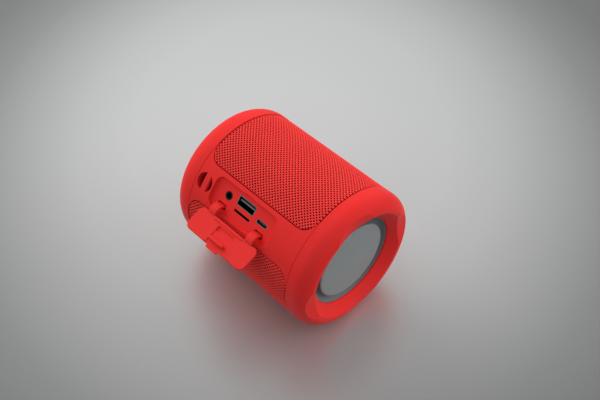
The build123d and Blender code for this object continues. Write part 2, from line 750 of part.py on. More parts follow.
def board_screws():
    """Three screws that hold the main board to its pillars."""
    screws = [
        end_post(y, z, 2.2, -46.0, -44.8) + end_post(y, z, 1.0, -44.8, -39.6) for y, z in board_posts()
    ]
    return Compound(screws)


def board_chips():
    """The amplifier, radio, charger and two capacitors on the main board's outer face."""
    parts = [
        Pos(-45.4, 6, 8) * Box(1.2, 9, 9),
        Pos(-45.4, -10, 6) * Box(1.2, 7, 7),
        Pos(-45.4, -6, -12) * Box(1.2, 12, 6),
        end_post(14, -8, 3.2, -47.8, -44.8),
        end_post(20, 1, 3.2, -47.8, -44.8),
    ]
    return Compound(parts)


PIECES = {
    "top_cap": top_cap,
    "base_cap": base_cap,
    "spine_cover": spine_cover,
    "lanyard_cup": lanyard_cup,
    "grille_mesh": grille_mesh,
    "grille_cage": grille_cage,
    "inner_housing": inner_housing,
    "housing_seal": housing_seal,
    "radiator_frame": radiator_frame,
    "radiator_surround": radiator_surround,
    "radiator_disc": radiator_disc,
    "radiator_weight": radiator_weight,
    "base_screws": base_screws,
    "driver_basket": driver_basket,
    "driver_screws": driver_screws,
    "driver_top_plate": driver_top_plate,
    "driver_magnet": driver_magnet,
    "driver_yoke": driver_yoke,
    "driver_voice_coil": driver_voice_coil,
    "driver_cone": driver_cone,
    "driver_dust_cap": driver_dust_cap,
    "driver_surround": driver_surround,
    "driver_spider": driver_spider,
    "battery_cell": battery_cell,
    "battery_holders": battery_holders,
    "battery_board": battery_board,
    "usb_a_shell": usb_a_shell,
    "usb_a_tongue": usb_a_tongue,
    "usb_a_contacts": usb_a_contacts,
    "micro_usb_shell": micro_usb_shell,
    "micro_usb_tongue": micro_usb_tongue,
    "audio_jack": audio_jack,
    "card_socket": card_socket,
    "port_board": port_board,
    "port_flap": port_flap,
    "flap_straps": flap_straps,
    "key_plate": key_plate,
    "button_board": button_board,
    "dome_switches": dome_switches,
    "status_lens": status_lens,
    "microphone": microphone,
    "main_board": main_board,
    "board_standoffs": board_standoffs,
    "board_screws": board_screws,
    "board_chips": board_chips,
}

os.makedirs("parts", exist_ok=True)
for name, make in PIECES.items():
    export_step(PLACE * make(), f"parts/{name}.step")
for name, (y, z, radius) in KEYS.items():
    export_step(PLACE * key(y, z, radius), f"parts/{name}.step")
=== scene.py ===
"""A small red party speaker lying on its side, its port flap open, on a pale floor."""

import json
from math import atan2, cos, radians, sin

import bpy
import numpy as np
from mathutils import Euler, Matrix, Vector


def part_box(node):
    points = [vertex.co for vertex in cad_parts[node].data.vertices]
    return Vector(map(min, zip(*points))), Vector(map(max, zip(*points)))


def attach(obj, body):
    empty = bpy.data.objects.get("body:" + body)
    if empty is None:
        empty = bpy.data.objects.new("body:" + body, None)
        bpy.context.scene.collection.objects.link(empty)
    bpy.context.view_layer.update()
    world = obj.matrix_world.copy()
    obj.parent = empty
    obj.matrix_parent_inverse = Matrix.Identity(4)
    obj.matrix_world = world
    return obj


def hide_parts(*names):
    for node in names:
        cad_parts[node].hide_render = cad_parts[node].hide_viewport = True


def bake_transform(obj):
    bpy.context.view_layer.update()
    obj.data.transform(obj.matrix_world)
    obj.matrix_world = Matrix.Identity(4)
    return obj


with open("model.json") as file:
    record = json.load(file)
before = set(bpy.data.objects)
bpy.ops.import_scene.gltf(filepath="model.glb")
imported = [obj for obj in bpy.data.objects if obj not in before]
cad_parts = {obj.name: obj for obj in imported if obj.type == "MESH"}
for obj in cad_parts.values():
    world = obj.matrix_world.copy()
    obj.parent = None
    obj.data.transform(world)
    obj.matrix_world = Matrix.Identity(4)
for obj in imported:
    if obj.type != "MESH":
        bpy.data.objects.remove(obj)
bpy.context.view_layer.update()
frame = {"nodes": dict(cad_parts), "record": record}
nodes = frame["nodes"]

# ---- The camera ----
# A normal lens looks down on the barrel from its port side, from the radiator end.
# It stands a little over half a metre away, as for a catalogue picture of a small product.
AXIS_Z = sum(corner[2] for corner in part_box("top_cap")) / 2
CAMERA_TURN = radians(45.92)
CAMERA_TILT = radians(47.61)
CAMERA_DISTANCE = 0.5204
LENS_LENGTH = 53.96
AIM_ALONG = 0.0019
AIM_RIGHT = 0.00445
AIM_UP = 0.00843
camera_data = bpy.data.cameras.new("camera")
camera_data.lens = LENS_LENGTH
camera_data.sensor_width = 36.0
camera = bpy.data.objects.new("camera", camera_data)
camera.rotation_euler = Euler((radians(90) - CAMERA_TILT, 0, CAMERA_TURN))
to_right, to_top, to_camera = (Vector(axis) for axis in zip(*camera.rotation_euler.to_matrix()))
aim = Vector((AIM_ALONG, 0, AXIS_Z)) + AIM_RIGHT * to_right + AIM_UP * to_top
camera.location = aim + CAMERA_DISTANCE * to_camera
bpy.context.scene.collection.objects.link(camera)
bpy.context.scene.camera = camera

# ---- The light ----
# A pale room lights the speaker from all round. Two soft boxes shape it, one at the left over the
# control end and one behind at the right, and a weak one fills the front.
world = bpy.data.worlds.new("room")
world.use_nodes = True
world.node_tree.nodes["Background"].inputs["Color"].default_value = (0.84, 0.85, 0.85, 1)
world.node_tree.nodes["Background"].inputs["Strength"].default_value = 0.68
bpy.context.scene.world = world
bpy.context.scene.view_settings.view_transform = "Standard"


def soft_box(name, place, target, size, watts):
    """A rectangular light at one point, turned to face another. Shiny surfaces don't reflect it."""
    data = bpy.data.lights.new(name, "AREA")
    data.shape = "RECTANGLE"
    data.size, data.size_y = size
    data.energy = watts
    lamp = bpy.data.objects.new(name, data)
    lamp.location = place
    lamp.rotation_euler = (Vector(target) - Vector(place)).to_track_quat("-Z", "Y").to_euler()
    lamp.visible_glossy = False
    bpy.context.scene.collection.objects.link(lamp)


soft_box("left_soft_box", (-1.0, 0.1, 0.7), (0, 0, 0.04), (0.9, 0.9), 11)
soft_box("back_soft_box", (0.9, 1.1, 0.6), (0, 0.1, 0), (1.2, 0.8), 11.5)
soft_box("front_fill", (-0.6, -0.9, 0.8), (0, 0, 0.04), (0.9, 0.9), 1.1)


# ---- The floor ----
# A wide pale satin sheet, a little shiny, with a painted pool of light: its colour is painted
# lighter round the speaker and darker away from it. It is not part of the speaker. Its finish, like
# every finish below, is built from a Wire and a Finish.
class Wire:
    """A shader socket. Its arithmetic with numbers or other wires adds Math nodes."""

    def __init__(self, finish, socket):
        self.finish = finish
        self.socket = socket

    def _math(self, operation, first, second):
        return self.finish.node("ShaderNodeMath", {"operation": operation}, {0: first, 1: second})

    def __add__(self, other):
        return self._math("ADD", self, other)

    def __radd__(self, other):
        return self._math("ADD", other, self)

    def __sub__(self, other):
        return self._math("SUBTRACT", self, other)

    def __rsub__(self, other):
        return self._math("SUBTRACT", other, self)

    def __mul__(self, other):
        return self._math("MULTIPLY", self, other)

    def __rmul__(self, other):
        return self._math("MULTIPLY", other, self)

    def __gt__(self, other):
        return self._math("GREATER_THAN", self, other)


class Finish:
    """One material: a Principled shader, and the nodes that feed it."""

    def __init__(self, name, **constants):
        self.material = bpy.data.materials.new(name)
        self.material.use_nodes = True
        self.tree = self.material.node_tree
        self.shader = self.tree.nodes["Principled BSDF"]
        for socket, value in constants.items():
            self.shader.inputs[socket.replace("_", " ")].default_value = value

    def node(self, kind, settings=None, values=None, output=0):
        """Adds a node: its settings come first, then its sockets' values or wires."""
        made = self.tree.nodes.new(kind)
        for key, value in (settings or {}).items():
            if key == "stops":
                ramp = made.color_ramp
                ramp.elements.remove(ramp.elements[1])
                for stop, (position, colour) in enumerate(value):
                    element = ramp.elements.new(position) if stop else ramp.elements[0]
                    element.position, element.color = position, (*colour, 1)
            else:
                setattr(made, key, value)
        for key, value in (values or {}).items():
            self.feed(made.inputs[key], value)
        return Wire(self, made.outputs[output])

    def feed(self, socket, value):
        if isinstance(value, Wire):
            self.tree.links.new(value.socket, socket)
        else:
            socket.default_value = value

    def set(self, socket, value):
        self.feed(self.shader.inputs[socket], value)
        return self

    def place(self):
        return self.node("ShaderNodeTexCoord", output="Object")

    def noise(self, scale, detail=3.0, stretch=(1, 1, 1)):
        where = self.node("ShaderNodeMapping", {}, {"Vector": self.place(), "Scale": stretch})
        return self.node("ShaderNodeTexNoise", {}, {"Vector": where, "Scale": scale, "Detail": detail})

    def mix(self, amount, first, second):
        settings = {"data_type": "RGBA"}
        values = {0: amount, 6: (*first, 1), 7: (*second, 1)}
        return self.node("ShaderNodeMix", settings, values, output=2)

    def bump(self, height, depth, strength=1.0):
        values = {"Height": height, "Distance": depth, "Strength": strength}
        return self.set("Normal", self.node("ShaderNodeBump", {}, values))


floor_mesh = bpy.data.meshes.new("paper_floor")
FLOOR_HALF = 6.0
corners = [(x * FLOOR_HALF, y * FLOOR_HALF, 0) for x, y in ((-1, -1), (1, -1), (1, 1), (-1, 1))]
floor_mesh.from_pydata(corners, [], [(0, 1, 2, 3)])
floor = bpy.data.objects.new("paper_floor", floor_mesh)
bpy.context.scene.collection.objects.link(floor)
sheet = Finish("satin_sheet_painted_light_pool", Roughness=0.37, Metallic=0.6)
# The stops below paint a pool of light on the floor: pale round the speaker, darker grey further out.
LIGHT_POOL_AHEAD = 0.12
LIGHT_POOL_REACH = (0.368, 0.428, 1)
LIGHT_POOL_STOPS = [(0.1, 0.19), (0.3, 0.24), (0.4, 0.33), (0.5, 0.47), (0.6, 0.60), (0.7, 0.68), (0.9, 0.73)]
light_pool_middle = LIGHT_POOL_AHEAD * Vector((-sin(CAMERA_TURN), cos(CAMERA_TURN), 0))
from_middle = sheet.node(
    "ShaderNodeMapping", {"vector_type": "TEXTURE"},
    {"Vector": sheet.place(), "Location": light_pool_middle, "Rotation": (0, 0, CAMERA_TURN), "Scale": LIGHT_POOL_REACH})
light_pool_nearness = sheet.node("ShaderNodeTexGradient", {"gradient_type": "SPHERICAL"}, {"Vector": from_middle}, 1)
stops = [(place, (0.99 * shade, shade, 0.998 * shade)) for place, shade in LIGHT_POOL_STOPS]
sheet.set("Base Color", sheet.node("ShaderNodeValToRGB", {"stops": stops}, {"Fac": light_pool_nearness}))
sheet.bump(sheet.noise(1200), 0.00002)
floor_mesh.materials.append(sheet.material)


# ---- End caps and port spine ----
# Three hard shells moulded in ABS, then sprayed with a soft-touch red lacquer. The caps close the
# ends of the barrel, and the spine is clipped in between them.
def paint(finish, *names):
    """Gives a finish to CAD nodes, in all their material slots."""
    for name in names:
        mesh = nodes[name].data
        mesh.materials.clear()
        mesh.materials.append(finish.material)


def moulded(name, dark, light, roughness, grain=3500, relief=0.00001, **constants):
    """A moulded or sprayed finish: two close shades in broad patches, with a fine even grain."""
    finish = Finish(name, **constants)
    finish.set("Base Color", finish.mix(finish.noise(60), dark, light))
    finish.set("Roughness", roughness - 0.05 + 0.1 * finish.noise(700))
    finish.bump(finish.noise(grain, 2.0), relief)
    return finish


soft_touch = moulded("soft_touch_red", (0.80, 0.023, 0.021), (0.84, 0.027, 0.024), 0.48, 2600, 0.000012,
                     Specular_IOR_Level=0.2)
paint(soft_touch, "top_cap", "base_cap", "spine_cover")


# ---- Woven grille ----
# A stretched skin of polyester strands in plain weave, laid on the bias, so that its holes stand in
# a diamond grid. Its edges are tucked down into the groove along the spine and the caps.
MM = 0.001
spine_axis = next(m["axis"] for m in frame["record"]["mounts"] if m["name"] == "audio_socket")
SPINE_TURN = atan2(-spine_axis[1], spine_axis[2])
GRILLE_START, GRILLE_END = (corner[0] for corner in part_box("grille_mesh"))
GRILLE_RADIUS = (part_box("grille_mesh")[1][2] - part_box("grille_mesh")[0][2]) / 2
SPINE_EDGE = 12.0 * MM
SPINE_CORNER = 9.0 * MM
HOLES_ALONG = 71
HOLES_ROUND = 242
STRAND_WIDTH = 0.86 * MM
STRAND_THICK = 0.34 * MM
STRAND_SECTION = [(-0.5, -0.38), (-0.36, 0.3), (0, 0.5), (0.36, 0.3), (0.5, -0.38)]
FINE_STEPS = 40
FEWEST_STEPS = 24
WEAVE_RISE = 0.12 * MM
EDGE_GAP = 0.45 * MM
EDGE_TUCK = 0.55 * MM
EDGE_REACH = 0.9 * MM


def on_barrel(along, turn, radius):
    """Points of the barrel: turn is the angle from the middle of the spine, in radians."""
    angle = turn + SPINE_TURN
    across, up = -radius * np.sin(angle), AXIS_Z + radius * np.cos(angle)
    return np.stack(np.broadcast_arrays(along, across, up), -1)


def inside_grille(along, turn):
    """Distance in from the grille's border: a band between the caps, less the spine, whose corners
    are arcs of SPINE_CORNER. It is positive inside."""
    from_cap = np.minimum(along - GRILLE_START, GRILLE_END - along)
    quarter = np.minimum(np.abs(np.mod(turn + np.pi, 2 * np.pi) - np.pi), np.pi / 2)
    from_spine = GRILLE_RADIUS * np.sin(quarter) - SPINE_EDGE
    corner = np.hypot(np.maximum(SPINE_CORNER - from_cap, 0), np.maximum(SPINE_CORNER - from_spine, 0))
    both_near = (from_cap < SPINE_CORNER) & (from_spine < SPINE_CORNER)
    return np.where(both_near, SPINE_CORNER - corner, np.minimum(from_cap, from_spine))


def put_mesh(name, points, faces, finish, body, slot):
    """Makes a piece from a list of points and arrays of faces, each array with one number of corners.
    If the volume inside comes out negative, the faces are turned over."""
    points = points.reshape(-1, 3)
    used, back = np.unique(np.concatenate([f.ravel() for f in faces]), return_inverse=True)
    points = points[used]
    splits = np.cumsum([f.size for f in faces])[:-1]
    faces = [part.reshape(-1, f.shape[1]) for part, f in zip(np.split(back, splits), faces)]
    volume = 0
    for f in faces:
        first, rest = points[f[:, 0]], points[f]
        cross = np.cross(rest[:, 1:-1], rest[:, 2:])
        volume += np.einsum("ij,ikj->", first, cross)
    if volume < 0:
        faces = [f[:, ::-1] for f in faces]
    mesh = bpy.data.meshes.new(name)
    mesh.vertices.add(len(points))
    mesh.vertices.foreach_set("co", points.astype(np.float32).ravel())
    corner_points = np.concatenate([f.ravel() for f in faces]).astype(np.int32)
    sizes = np.concatenate([np.full(len(f), f.shape[1]) for f in faces])
    mesh.loops.add(len(corner_points))
    mesh.loops.foreach_set("vertex_index", corner_points)
    mesh.polygons.add(len(sizes))
    mesh.polygons.foreach_set("loop_start", (np.cumsum(sizes) - sizes).astype(np.int32))
    mesh.update(calc_edges=True)
    mesh.shade_smooth()
    mesh.materials.append(finish.material)
    piece = bpy.data.objects.new(name, mesh)
    bpy.context.scene.collection.objects.link(piece)
    if body:
        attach(piece, body)
    return piece


def tube_faces(stations, round_count, start=0):
    """The quads of a closed profile of round_count points carried through that many stations."""
    row, column = np.meshgrid(np.arange(stations - 1), np.arange(round_count), indexing="ij")
    after = (column + 1) % round_count
    quads = [row * round_count + column, row * round_count + after,
             (row + 1) * round_count + after, (row + 1) * round_count + column]
    return np.stack(quads, -1).reshape(-1, 4) + start


def strands(slant):
    """One family of strands, all slanting one way. A strand's middle line advances one hole along and
    one hole round together, and rises and falls by a cosine from crossing to crossing. Its profile is
    flat below and crowned above."""
    hole_along = (GRILLE_END - GRILLE_START) / HOLES_ALONG
    hole_turn = 2 * np.pi / HOLES_ROUND
    starts = np.arange(-HOLES_ROUND // 2 + 1, HOLES_ROUND // 2 + HOLES_ALONG, 2)[:, None]

    def at(steps):
        return GRILLE_START + hole_along * steps, np.pi + slant * hole_turn * (steps - starts)

    fine = np.linspace(0, HOLES_ALONG, HOLES_ALONG * FINE_STEPS + 1)[None, :]
    along, turn = at(fine)
    inside = (inside_grille(along, turn) > EDGE_GAP) & (np.abs(turn - np.pi) < np.pi)
    kept = inside.sum(1) > FEWEST_STEPS
    first = fine[0, inside.argmax(1)]
    last = fine[0, inside.shape[1] - 1 - inside[:, ::-1].argmax(1)]
    starts, first, last = starts[kept], first[kept, None], last[kept, None]
    steps = np.clip(np.linspace(0, HOLES_ALONG, HOLES_ALONG * 2 + 1)[None, :], first, last)
    along, turn = at(steps)
    tuck = 1 - np.clip(inside_grille(along, turn) / EDGE_REACH, 0, 1)
    middle = GRILLE_RADIUS - STRAND_THICK * 0.5 - WEAVE_RISE
    radius = middle + slant * WEAVE_RISE * np.cos(np.pi * steps) - EDGE_TUCK * tuck**2
    across, height = np.array(STRAND_SECTION).T * [[STRAND_WIDTH], [STRAND_THICK]]
    length = np.hypot(hole_along, hole_turn * middle)
    step_along, step_round = hole_along / length, slant * hole_turn * middle / length
    points = on_barrel(
        along[..., None] - across * step_round,
        turn[..., None] + across * step_along / middle,
        radius[..., None] + height,
    )
    count, stations, ring = points.shape[:3]
    quads = tube_faces(stations, ring).reshape(stations - 1, ring, 4)
    moving = np.diff(steps, axis=1) > 1e-6
    strand, segment = np.nonzero(moving)
    faces = quads[segment] + (strand * stations * ring)[:, None, None]
    near = moving.argmax(1)
    far = moving.shape[1] - moving[:, ::-1].argmax(1)
    base = (np.arange(count) * stations)[:, None] * ring
    near_cap = base + near[:, None] * ring + np.arange(ring)[::-1]
    far_cap = base + far[:, None] * ring + np.arange(ring)
    return points, [faces.reshape(-1, 4), np.vstack([near_cap, far_cap])]


strand_red = moulded("woven_red", (0.86, 0.040, 0.036), (0.92, 0.055, 0.048), 0.6, 9000, 0.00002,
                     Specular_IOR_Level=0.2)
for side, slant in (("left", -1), ("right", 1)):
    woven = put_mesh(f"grille_strands_{side}", *strands(slant), strand_red, "speaker", "red_mesh")
    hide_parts("grille_mesh")

# ---- Sheet of painted shade behind the grille ----
# A thin sheet under the strands, painted dark red near black with no shine: painted shade for
# the holes. It is what shows through the holes.
LINING_DEPTH = 0.85 * MM
LINING_THICK = 0.12 * MM


def lining():
    """A sheet that follows the grille's border: at each place along, it runs round the barrel from
    one edge of the spine to the other."""
    swing = np.linspace(0, np.pi, 81)
    along = (GRILLE_START + GRILLE_END) / 2 - (GRILLE_END - GRILLE_START) / 2 * np.cos(swing)
    from_cap = np.minimum(along - GRILLE_START, GRILLE_END - along)
    short = np.clip(SPINE_CORNER - from_cap, 0, SPINE_CORNER)
    edge = SPINE_EDGE + SPINE_CORNER - np.sqrt(SPINE_CORNER**2 - short**2)
    edge_turn = np.arcsin(np.minimum(edge / GRILLE_RADIUS, 1))
    share = np.linspace(0, 1, 241)
    turn = edge_turn[:, None] + share * (2 * np.pi - 2 * edge_turn[:, None])
    sheets = [on_barrel(along[:, None], turn, GRILLE_RADIUS - depth)
              for depth in (LINING_DEPTH, LINING_DEPTH + LINING_THICK)]
    rows, columns = turn.shape
    index = np.arange(rows * columns).reshape(rows, columns)
    top = np.stack([index[:-1, :-1], index[:-1, 1:], index[1:, 1:], index[1:, :-1]], -1).reshape(-1, 4)
    bottom = top[:, ::-1] + rows * columns
    border = np.concatenate([index[0, :-1], index[:-1, -1], index[-1, :0:-1], index[:0:-1, 0]])
    following = np.roll(border, -1)
    rim = np.stack([following, border, border + rows * columns, following + rows * columns], -1)
    return np.stack(sheets), [np.vstack([top, bottom, rim])]


# Painted shade: near black and without shine, so that the holes read as dark.
lining_painted_shade = moulded("lining_painted_shade", (0.060, 0.0015, 0.002), (0.085, 0.002, 0.003), 0.85, 6000, 0.00003,
                       Specular_IOR_Level=0.0)
cloth = put_mesh("grille_shade_sheet", *lining(), lining_painted_shade, "speaker", "red_mesh")
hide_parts("grille_mesh")

# ---- Port flap ----
# A soft plate moulded in one shot of matt silicone, in the same red. It closes the recess, and its
# rib plugs the large socket.
silicone = moulded("red_silicone", (0.78, 0.026, 0.023), (0.82, 0.031, 0.027), 0.56, 3200, 0.000010,
                   Specular_IOR_Level=0.25)
paint(silicone, "port_flap")

# ---- Flap straps ----
# Two bands of the same silicone that hold the flap to the speaker. Each comes up out of its slot,
# curls over and is moulded onto the flap's near edge.
STRAP_WIDTH = 5.3 * MM
STRAP_THICK = 1.4 * MM
STRAP_CENTRE = (-9.1 * MM, 42.3 * MM)
STRAP_RADIUS = 3.85 * MM
STRAP_FOOT = 2.1 * MM
STRAP_MIDDLES = {"near_strap": -17.0 * MM, "far_strap": 12.7 * MM}
BEND_START_UP = 41.0 * MM
BEND_END = (-10.6 * MM, 46.2 * MM)
STRAP_LEAVES = radians(-12)
STRAP_LANDS = radians(116)
SLOT_BOTTOM = 38.0 * MM
RISE_STEPS = 8
ARC_STEPS = 34
FOOT_STEPS = 12
STRAP_AROUND = 28
SIDE_POWER = 0.32
LIFT_POWER = 0.55
TIP_FROM = 0.62
TIP_WIDTH = 0.72
TIP_LEAST = 0.02


def rolled(along, across, up):
    """A point given along the barrel, across the spine and up from the axis through the spine."""
    c, s = np.cos(SPINE_TURN), np.sin(SPINE_TURN)
    return np.stack(np.broadcast_arrays(along, across * c - up * s, AXIS_Z + across * s + up * c), -1)


def strap(middle):
    """A band carried up a straight, round an arc and down a straight along the flap, where it draws
    in along a quarter of an ellipse. Its section is a superellipse: a power of the cosine across by a
    power of the sine through."""
    arc = np.linspace(STRAP_LEAVES, STRAP_LANDS, ARC_STEPS)
    across = STRAP_CENTRE[0] + STRAP_RADIUS * np.cos(arc)
    up = STRAP_CENTRE[1] + STRAP_RADIUS * np.sin(arc)
    rise = np.linspace(0, 1, RISE_STEPS, endpoint=False)
    foot = np.sin(np.linspace(0, np.pi / 2, FOOT_STEPS + 1))[1:]
    heading = STRAP_LANDS + np.pi / 2
    foot_across = across[-1] + foot * STRAP_FOOT * np.cos(heading)
    foot_up = up[-1] + foot * STRAP_FOOT * np.sin(heading)
    across = np.concatenate([np.full(RISE_STEPS, across[0]), across, foot_across])
    up = np.concatenate([SLOT_BOTTOM + rise * (up[0] - SLOT_BOTTOM), up, foot_up])
    normal = np.concatenate([np.full(RISE_STEPS, 0.0), arc, np.full(FOOT_STEPS, STRAP_LANDS)])
    past = np.clip(foot - TIP_FROM, 0, 1) / (1 - TIP_FROM)
    tip = np.sqrt(np.clip(1 - past**2, TIP_LEAST**2, 1))
    shrink = np.concatenate([np.ones(RISE_STEPS + ARC_STEPS), tip])
    around = np.linspace(0, 2 * np.pi, STRAP_AROUND, endpoint=False)
    side = np.sign(np.cos(around)) * np.abs(np.cos(around)) ** SIDE_POWER * STRAP_WIDTH / 2
    lift = np.sign(np.sin(around)) * np.abs(np.sin(around)) ** LIFT_POWER * STRAP_THICK / 2
    side = side * (TIP_WIDTH + (1 - TIP_WIDTH) * shrink[:, None])
    lift = lift * shrink[:, None]
    points = rolled(
        middle + side,
        across[:, None] + lift * np.cos(normal)[:, None],
        up[:, None] + lift * np.sin(normal)[:, None],
    )
    stations = len(across)
    ends = np.arange(STRAP_AROUND)
    caps = np.vstack([ends[::-1], (stations - 1) * STRAP_AROUND + ends])
    return points, [tube_faces(stations, STRAP_AROUND), caps]


strap_start = rolled(0, STRAP_CENTRE[0] + STRAP_RADIUS, BEND_START_UP)
strap_end = rolled(0, *BEND_END)
for name, middle in STRAP_MIDDLES.items():
    band = put_mesh(name, *strap(middle), silicone, None, "red_silicone")
    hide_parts("flap_straps")
    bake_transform(band)

# ---- Lanyard cup ----
# A moulded red pocket behind the round hole, under the bar for a cord. Its colour is painted darker
# with depth, to near black at its foot: painted shade in the pocket.
cup = Finish("lanyard_cup_red_painted_shade", Roughness=0.6)


def depth_below(finish, surface, reach):
    """How far down from the spine's surface a point lies: 0 at the surface, 1 at that reach. It masks the
    painted shade in the pocket and the sockets.
    """
    axis = (0, -np.sin(SPINE_TURN), np.cos(SPINE_TURN))
    values = {0: finish.place(), 1: axis}
    height = finish.node("ShaderNodeVectorMath", {"operation": "DOT_PRODUCT"}, values, output="Value")
    top = surface + AXIS_Z * float(np.cos(SPINE_TURN))
    return finish.node("ShaderNodeMath", {"operation": "MULTIPLY", "use_clamp": True},
                       {0: top - height, 1: 1 / reach})


# Painted shade: the red is painted darker with depth, to near black at the bottom of the pocket.
cup_painted_shade = depth_below(cup, 38.6 * MM, 1.6 * MM)
cup.set("Base Color", cup.mix(cup_painted_shade, (0.70, 0.014, 0.016), (0.003, 0.001, 0.001)))
cup.bump(cup.noise(2500), 0.00002)
paint(cup, "lanyard_cup")

# ---- Port sockets ----
# Folded tin-plated shells for the two metal sockets, with black nylon tongues and gold contacts.
# The audio and card sockets are black nylon. The tin is painted darker with depth, to near black: painted
# shade inside the shells.
tin = Finish("tinned_shell_painted_shade", Metallic=1.0)
# Painted shade: the tin's colour goes to near black a short way down into the socket.
tin_painted_shade = depth_below(tin, 41.0 * MM, 0.3 * MM)
tin.set("Base Color", tin.mix(tin_painted_shade, (0.26, 0.30, 0.30), (0.010, 0.014, 0.015)))
tin.set("Roughness", 0.28 + 0.2 * tin.noise(1500))
paint(tin, "usb_a_shell", "micro_usb_shell")
tongue = moulded("tongue_nylon", (0.12, 0.14, 0.14), (0.15, 0.17, 0.17), 0.45)
paint(tongue, "usb_a_tongue")
# The micro USB tongue is painted darker than the large one: painted shade, as it sits deeper in its shell.
small_tongue_shaded = moulded("small_tongue_nylon_painted_shade", (0.035, 0.045, 0.045), (0.045, 0.055, 0.055), 0.5)
paint(small_tongue_shaded, "micro_usb_tongue")
nylon = moulded("black_nylon", (0.006, 0.009, 0.010), (0.010, 0.013, 0.014), 0.5, Specular_IOR_Level=0.3)
paint(nylon, "audio_jack")
slot_black = moulded("slot_black", (0.002, 0.002, 0.002), (0.004, 0.004, 0.004), 0.8,
                     Specular_IOR_Level=0.05)
paint(slot_black, "card_socket")
gold = Finish("gold_contact", Metallic=1.0)
gold.set("Base Color", gold.mix(gold.noise(800), (0.80, 0.56, 0.20), (0.88, 0.66, 0.28)))
gold.set("Roughness", 0.2 + 0.15 * gold.noise(1500))
paint(gold, "usb_a_contacts")

# ---- Passive radiator ----
# A flat piston pressed from aluminium and bead-blasted, glued to a moulded rubber edge that lets it
# move. A steel weight is stuck behind it.
piston = Finish("blasted_grey", Metallic=0.35, Specular_IOR_Level=0.4)
piston.set("Base Color", piston.mix(piston.noise(300), (0.300, 0.335, 0.342), (0.325, 0.360, 0.367)))
piston.set("Roughness", 0.42 + 0.12 * piston.noise(2500))
piston.bump(piston.noise(5200, 2.0), 0.000010)
paint(piston, "radiator_disc")
edge_rubber = moulded("grey_rubber", (0.150, 0.172, 0.178), (0.168, 0.190, 0.196), 0.5, 2200, 0.00001)
paint(edge_rubber, "radiator_surround", "driver_surround")

# ---- Bending rings ----
# The rubber edges of the radiator and the driver, and the driver's cloth spider, give as their
# middles move. Each real ring is one piece. Here it is in equal sectors.
SECTORS = 16
SECTOR_STEPS = 8
SHARP_TURN = radians(35)
SPINE_UP = (0, -np.sin(SPINE_TURN), np.cos(SPINE_TURN))


def bowed(first, middle, last):
    """Nine points on the parabola through three points."""
    t = np.linspace(0, 1, 9)[:, None]
    first, middle, last = np.array(first), np.array(middle), np.array(last)
    return first * (1 - t) * (1 - 2 * t) + middle * 4 * t * (1 - t) + last * t * (2 * t - 1)


def bending_ring(node, outline, origin, axis, fixed_radius, free_radius, finish, slot):
    """An outline of (height, radius) in millimetres, turned about an axis in sectors. The points
    at fixed_radius and free_radius on each sector's middle are worked out, but nothing uses them."""
    outline = np.vstack(outline) * MM
    axis = np.array(axis, float)
    first_side = np.cross(axis, (0, 1, 0)) if abs(axis[1]) < 0.5 else np.cross(axis, (1, 0, 0))
    first_side /= np.linalg.norm(first_side)
    second_side = np.cross(axis, first_side)
    count = len(outline)
    caps = np.vstack([np.arange(count)[::-1], SECTOR_STEPS * count + np.arange(count)])
    for sector in range(SECTORS):
        turn = 2 * np.pi / SECTORS * (sector + np.linspace(0, 1, SECTOR_STEPS + 1))
        radial = np.cos(turn)[:, None] * first_side + np.sin(turn)[:, None] * second_side
        points = origin + outline[None, :, :1] * axis + outline[None, :, 1:] * radial[:, None, :]
        faces = [tube_faces(SECTOR_STEPS + 1, count), caps]
        piece = put_mesh(f"{node}_{sector + 1}", points, faces, finish, None, slot)
        piece.data.set_sharp_from_angle(angle=SHARP_TURN)
        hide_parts(node)
        middle = radial[SECTOR_STEPS // 2]
        fixed, free = origin + middle * fixed_radius * MM, origin + middle * free_radius * MM
        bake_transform(piece)


radiator_outline = [
    [(46.95, 31.5), (46.95, 28.4), (49.1, 28.4)],
    bowed((49.1, 28.0), (47.0, 26.9), (46.0, 25.1)),
    [(46.3, 24.6), (47.7, 24.3), (47.7, 20.5), (46.9, 20.5), (46.9, 23.6), (45.5, 24.0)],
    bowed((45.0, 25.0), (45.35, 27.0), (45.96, 28.6)),
    [(45.96, 31.5)],
]
bending_ring("radiator_surround", radiator_outline, np.array([0, 0, AXIS_Z]), (1, 0, 0),
             28.0, 24.9, edge_rubber, "grey_rubber")
DRIVER_FACE = -30.4
driver_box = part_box("driver_surround")
driver_middle = np.array([(driver_box[0][0] + driver_box[1][0]) / 2, 0, AXIS_Z])
roll_outline = [
    [(DRIVER_FACE + 0.9, 15.5), (DRIVER_FACE + 1.35, 15.5), (DRIVER_FACE + 1.35, 16.3)],
    bowed((DRIVER_FACE + 0.9, 16.3), (DRIVER_FACE - 1.0, 18.0), (DRIVER_FACE - 0.5, 19.7)),
    [(DRIVER_FACE, 19.7), (DRIVER_FACE, 20.3)],
    bowed((DRIVER_FACE - 0.9, 20.3), (DRIVER_FACE - 1.6, 18.0), (DRIVER_FACE + 0.9, 15.5))[:-1],
]
bending_ring("driver_surround", roll_outline, driver_middle, SPINE_UP,
             19.6, 16.2, edge_rubber, "grey_rubber")

